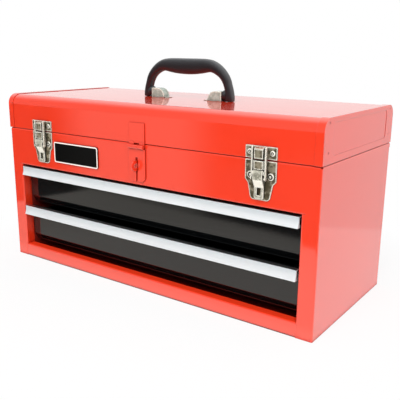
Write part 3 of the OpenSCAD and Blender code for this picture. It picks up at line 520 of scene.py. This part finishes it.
def nickel_plate(name, dark, light, metallic, polished=None, ringed=False):
    """Nickel between two tones, painted bright on its edges and dark in its hollows.
    A given face is painted bright too, and a ringed head gets a painted shade ring.
    """
    material, tree, bsdf, place = new_finish(name)
    cloud = clouds(tree, place, scale=150, detail=2)
    rounded = rounded_edges(tree, HIGHLIGHT_RADIUS)
    # Painted highlight on the rounded edges, which also lose their metal look.
    shine = edge_share(tree, rounded, HIGHLIGHT_BEGIN, HIGHLIGHT_FULL)
    flat = surface_normal(tree)
    # A face along the given slope gets the painted highlight too.
    if polished:
        along = measure(tree, "DOT_PRODUCT", flat, polished)
        shine = maths(tree, "MAXIMUM", shine, ramp(tree, along, *SLOPE_MATCH))
    satin = blend_colours(tree, ramp(tree, cloud, *NICKEL_SPREAD), dark, light)
    tone = blend_colours(tree, shine, satin, NICKEL_HIGHLIGHT)
    if ringed:
        # A painted shade ring sits between painted highlights on the rim and the middle of the
        # head.
        front = axis_part(tree, flat, "Y")
        shade_ring = ramp(tree, front, *RING_INNER, 0.0, 1.0, "SMOOTHSTEP")
        rim = ramp(tree, front, *RING_OUTER, 0.0, 1.0, "SMOOTHSTEP")
        tone = blend_colours(tree, shade_ring, NICKEL_HIGHLIGHT, NICKEL_SHADE)
        tone = blend_colours(tree, rim, tone, NICKEL_HIGHLIGHT)
    # Painted shade darkens the nickel in slots, gaps and around fitted parts.
    feed(tree, bsdf,
         Base_Color=blend_colours(tree, unshaded_share(tree, NICKEL_SHADE_REACH), NICKEL_SHADE, tone),
         Metallic=ramp(tree, shine, before=metallic, after=0.0),
         Roughness=ramp(tree, cloud, before=0.20, after=0.34),
         Normal=ripple(tree, place, scale=160, strength=0.16, depth=0.0003, normal=rounded))
    return material


NICKEL = nickel_plate("nickel_plate", WARM_DARK, WARM_LIGHT, metallic=0.6)
dress(nickel_plate("nickel_lever", LEVER_DARK, LEVER_LIGHT, metallic=0.4, polished=LEVER_SLOPE),
      "latch_lever_left", "latch_lever_right")
dress(nickel_plate("nickel_rivet", WARM_DARK, WARM_LIGHT, metallic=0.0, ringed=True),
      "latch_base_rivets", "keeper_rivets")
for side in ("left", "right"):
    dress(NICKEL, f"latch_base_{side}", f"latch_link_{side}", f"link_pin_{side}",
          f"latch_keeper_{side}")
dress(NICKEL, "latch_pivot_pins")


# ---- Padlock hasp ----
# A leaf on the lid with a rolled barrel, a swinging strap with its slot, and the staple behind
# it. It is welded on before the box is coated, so it has the same red enamel.
dress(RED, "hasp_leaf", "hasp_pin", "hasp_strap", "hasp_staple")


# ---- Badge ----
# A bare moulded plastic plate, fixed flat on the front: a glossy black field inside a raised
# rim, with bright foil on the rim's face.
FIELD_DARK, FIELD_LIGHT = (0.0015, 0.0015, 0.0015, 1), (0.0035, 0.0035, 0.0035, 1)
FOIL = (0.92, 0.83, 0.77, 1)
RIM_FACE_Y = -0.1099
BADGE_EDGE_RADIUS = 0.0003


def badge_finish():
    material, tree, bsdf, place = new_finish(
        "badge_black", Specular_IOR_Level=0.15, Coat_Weight=0.12, Coat_Roughness=0.08)
    rim = maths(tree, "LESS_THAN", axis_part(tree, place, "Y"), RIM_FACE_Y)
    grain = clouds(tree, place, scale=900, detail=2)
    black = blend_colours(tree, grain, FIELD_DARK, FIELD_LIGHT)
    feed(tree, bsdf, Base_Color=blend_colours(tree, rim, black, FOIL),
         Roughness=ramp(tree, grain, before=0.30, after=0.40),
         Normal=ripple(tree, place, scale=700, strength=0.05, depth=0.0001,
                       normal=rounded_edges(tree, BADGE_EDGE_RADIUS)))
    return material


dress(badge_finish(), "badge_plate")


# ---- Lid ----
# A wrapped sheet with rounded front and rear bends, closed by an end cap at each side whose
# flange laps over it. The caps are spot-welded: each weld leaves a small dull dimple.
CAP_X, WELD_Y, WELD_Z = 0.2555, 0.0955, (0.2145, 0.2465)
WELD_PLACES = [(x, y, z) for x in (-CAP_X, CAP_X) for y in (-WELD_Y, WELD_Y) for z in WELD_Z]
dress(RED, "lid_shell")
dress(red_enamel("red_enamel_cap", marks=WELD_PLACES), "lid_end_left", "lid_end_right")


# ---- Piano hinge ----
# A rolled steel hinge along the back, its leaves welded on and coated red with the rest. The
# pin's ends stay bare.
dress(RED, "hinge_leaf_cabinet", "hinge_leaf_lid")
dress(ZINC, "hinge_pin")


# ---- Handle ----
# Two nickel-plated hoods clinched through the lid and a steel strap under it carry the moulded
# black handle on two steel pins.
HOOD_DARK, HOOD_LIGHT = (0.34, 0.41, 0.35, 1), (0.50, 0.57, 0.50, 1)
PLASTIC_DARK, PLASTIC_LIGHT = (0.008, 0.007, 0.009, 1), (0.016, 0.015, 0.018, 1)
# The top colour is a painted sheen on faces that lean up.
PLASTIC_TOP_SHEEN, SHEEN_LEAN = (0.060, 0.064, 0.068, 1), (0.0, 0.9)

dress(nickel_plate("hood_nickel", HOOD_DARK, HOOD_LIGHT, metallic=0.08),
      "handle_bracket_left", "handle_bracket_right")
dress(ZINC, "handle_backing_plate", "handle_pins")


def black_plastic():
    """Moulded plastic with a fine leather grain, paler on top as a painted sheen."""
    material, tree, bsdf, place = new_finish(
        "black_plastic", Roughness=0.36, Specular_IOR_Level=0.8)
    cloud = clouds(tree, place, scale=60, detail=3)
    tone = blend_colours(tree, cloud, PLASTIC_DARK, PLASTIC_LIGHT)
    flat = surface_normal(tree)
    # Painted sheen: faces that lean up turn paler.
    top_sheen = ramp(tree, axis_part(tree, flat, "Z"), *SHEEN_LEAN)
    feed(tree, bsdf, Base_Color=blend_colours(tree, top_sheen, tone, PLASTIC_TOP_SHEEN),
         Normal=ripple(tree, place, scale=1500, strength=0.25, depth=0.0002, normal=flat))
    return material


# The grip's front view from the left foot's tip to mid-span, in millimetres: x and z of the
# outer edge, x and z of the inner edge, and half the depth.
MM = 0.001
GRIP_RUN = ((76.0, 251.7, 66.6, 251.7, 4.6), (76.4, 252.4, 65.0, 252.4, 5.9),
            (76.4, 254.0, 64.7, 254.0, 6.5), (76.1, 258.0, 64.6, 258.0, 6.7),
            (75.2, 263.0, 64.3, 262.5, 6.6), (74.0, 268.0, 63.4, 267.3, 6.5),
            (72.0, 274.3, 61.3, 273.4, 6.5), (70.2, 280.0, 57.8, 279.0, 6.6),
            (66.9, 286.0, 53.4, 283.1, 6.8), (62.1, 291.9, 48.9, 285.8, 7.1),
            (55.6, 297.6, 44.2, 287.8, 7.5), (48.4, 302.0, 39.8, 288.7, 7.9),
            (40.8, 304.9, 34.8, 288.3, 8.3), (32.0, 306.2, 28.8, 287.2, 8.5),
            (21.5, 306.5, 20.4, 286.0, 8.5), (10.6, 306.5, 10.2, 285.1, 8.5),
            (0.0, 306.5, 0.0, 284.8, 8.5))
# The section is a rounded square: 2 would make it an ellipse.
SQUARENESS = 2.6
RING_POINTS, RUN_STEPS = 28, 5


def eased(values, t):
    """Catmull-Rom blend of four neighbouring rows of numbers."""
    a, b, c, d = values
    return [0.5 * (2 * q + (r - p) * t + (2 * p - 5 * q + 4 * r - s) * t * t
                   + (3 * q - p - 3 * r + s) * t ** 3) for p, q, r, s in zip(a, b, c, d)]


def grip_rows():
    whole = ([(-xo, zo, -xi, zi, half) for xo, zo, xi, zi, half in GRIP_RUN]
             + [(xo, zo, xi, zi, half) for xo, zo, xi, zi, half in GRIP_RUN[-2::-1]])
    ends = [whole[0]] + whole + [whole[-1]]
    return [eased(ends[i:i + 4], step / RUN_STEPS) for i in range(len(whole) - 1)
            for step in range(RUN_STEPS)] + [list(whole[-1])]


def grip_ring(xo, zo, xi, zi, half):
    middle = Vector(((xo + xi) / 2, 0, (zo + zi) / 2))
    reach = Vector(((xo - xi) / 2, 0, (zo - zi) / 2))
    ring = []
    for i in range(RING_POINTS):
        c, s = (f(2 * math.pi * i / RING_POINTS) for f in (math.cos, math.sin))
        u, v = (math.copysign(abs(w) ** (2 / SQUARENESS), w) for w in (c, s))
        ring.append((middle + reach * u + Vector((0, half * v, 0))) * MM)
    return ring


# The round boss inside each foot: distance from the middle and radius, from the inner end out.
BOSS_PROFILE = ((0.0605, 0.0050), (0.0608, 0.0063), (0.0615, 0.0070), (0.0670, 0.0070))
BOSS_HEIGHT, BOSS_POINTS = 0.2590, 40


def make_boss(name, side):
    turns = [2 * math.pi * i / BOSS_POINTS for i in range(BOSS_POINTS)]
    return lofted(name, [[(side * x, r * math.cos(a), BOSS_HEIGHT + r * math.sin(a))
                          for a in turns] for x, r in BOSS_PROFILE])


PLASTIC = black_plastic()
grip = lofted("grip", [grip_ring(*row) for row in grip_rows()])
for piece in (grip, make_boss("foot_boss_left", -1), make_boss("foot_boss_right", 1)):
    finish_mesh(piece, PLASTIC)
    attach(piece, "handle")
    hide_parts("handle_grip")
